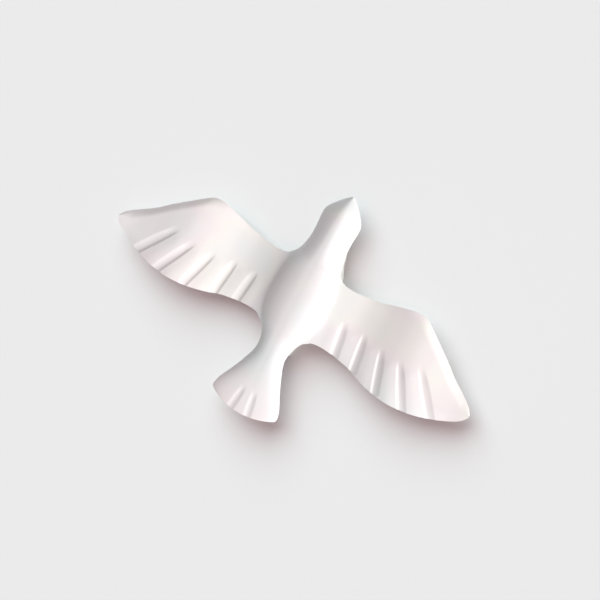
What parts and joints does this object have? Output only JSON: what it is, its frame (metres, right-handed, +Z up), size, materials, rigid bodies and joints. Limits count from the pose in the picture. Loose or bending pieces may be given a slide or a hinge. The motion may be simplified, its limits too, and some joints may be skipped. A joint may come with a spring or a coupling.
{
  "type": "motion wing bird decoy",
  "caption": "White bird decoy with a formed back and flapping wings driven by geared quadrants from a motor in the belly, on a stake socket.",
  "frame": {"origin": "centre of the stake socket's mouth, in the flat bottom of the belly pan", "axes": "+X to the beak, +Y to the left wing tip, +Z up out of the back"},
  "size_m": [0.3316, 0.561, 0.06],
  "materials": {
    "skin": "pearl white, satin",
    "pan": "off-white, fine texture",
    "frame_plastic": "black glass-filled",
    "screw_steel": "zinc plated",
    "motor_case": "dark blue-black",
    "shaft_steel": "ground",
    "gear_plastic": "natural acetal",
    "clip_steel": "spring steel",
    "spar_wire": "drawn wire",
    "clip_plastic": "white nylon",
    "holder_plastic": "black",
    "cell_wrap": "plain green wrap",
    "contact_metal": "nickel plated",
    "slider_plastic": "red",
    "board": "green laminate"
  },
  "bodies": {
    "decoy_body": {"back_skin": "skin", "belly_pan": "pan", "chassis": "frame_plastic", "chassis_screws": "screw_steel", "servo_case": "motor_case", "servo_screws": "screw_steel", "idler_axle": "shaft_steel", "idler_clip": "clip_steel", "left_hinge_pin": "shaft_steel", "right_hinge_pin": "shaft_steel", "pin_clips": "clip_steel", "stake_socket": "frame_plastic", "battery_holder": "holder_plastic", "batteries": "cell_wrap", "battery_contacts": "contact_metal", "door_pin": "shaft_steel", "switch_housing": "holder_plastic", "control_board": "board"},
    "left_wing": {"left_sector_arm": "gear_plastic", "left_front_spar": "spar_wire", "left_rear_spar": "spar_wire", "left_spar_clips": "clip_plastic", "left_wing_skin": "skin"},
    "right_wing": {"right_sector_arm": "gear_plastic", "right_front_spar": "spar_wire", "right_rear_spar": "spar_wire", "right_spar_clips": "clip_plastic", "right_wing_skin": "skin"},
    "drive_gear": {"drive_pinion": "gear_plastic", "output_shaft": "shaft_steel", "pinion_screw": "screw_steel"},
    "idler_gear": {"idler_pinion": "gear_plastic"},
    "battery_cover": {"battery_door": "pan"},
    "switch_button": {"switch_slider": "slider_plastic"}
  },
  "joints": [
    {"name": "left_flap", "type": "hinge", "parent": "decoy_body", "child": "left_wing", "pos_m": [0.02, 0.042, 0.028], "axis": [1, 0, 0], "range_deg": [-20, 30]},
    {"name": "right_flap", "type": "hinge", "parent": "decoy_body", "child": "right_wing", "pos_m": [0.02, -0.042, 0.028], "axis": [1, 0, 0], "range_deg": [-30, 20]},
    {"name": "drive_spin", "type": "hinge", "parent": "decoy_body", "child": "drive_gear", "pos_m": [0.0425, 0.009, 0.028], "axis": [1, 0, 0], "range_deg": [-80.1, 53.4]},
    {"name": "idler_spin", "type": "hinge", "parent": "decoy_body", "child": "idler_gear", "pos_m": [0.0425, -0.009, 0.028], "axis": [1, 0, 0], "range_deg": [-53.4, 80.1]},
    {"name": "battery_door_swing", "type": "hinge", "parent": "decoy_body", "child": "battery_cover", "pos_m": [-0.06, 0, 0.0017], "axis": [0, 1, 0], "range_deg": [0, 90]},
    {"name": "switch_slide", "type": "slide", "parent": "decoy_body", "child": "switch_button", "axis": [1, 0, 0], "range_m": [0, 0.003]}
  ],
  "couplings": [
    {"joint": "right_flap", "follows": "left_flap", "ratio": -1},
    {"joint": "drive_spin", "follows": "left_flap", "ratio": -2.6667},
    {"joint": "idler_spin", "follows": "left_flap", "ratio": 2.6667}
  ]
}
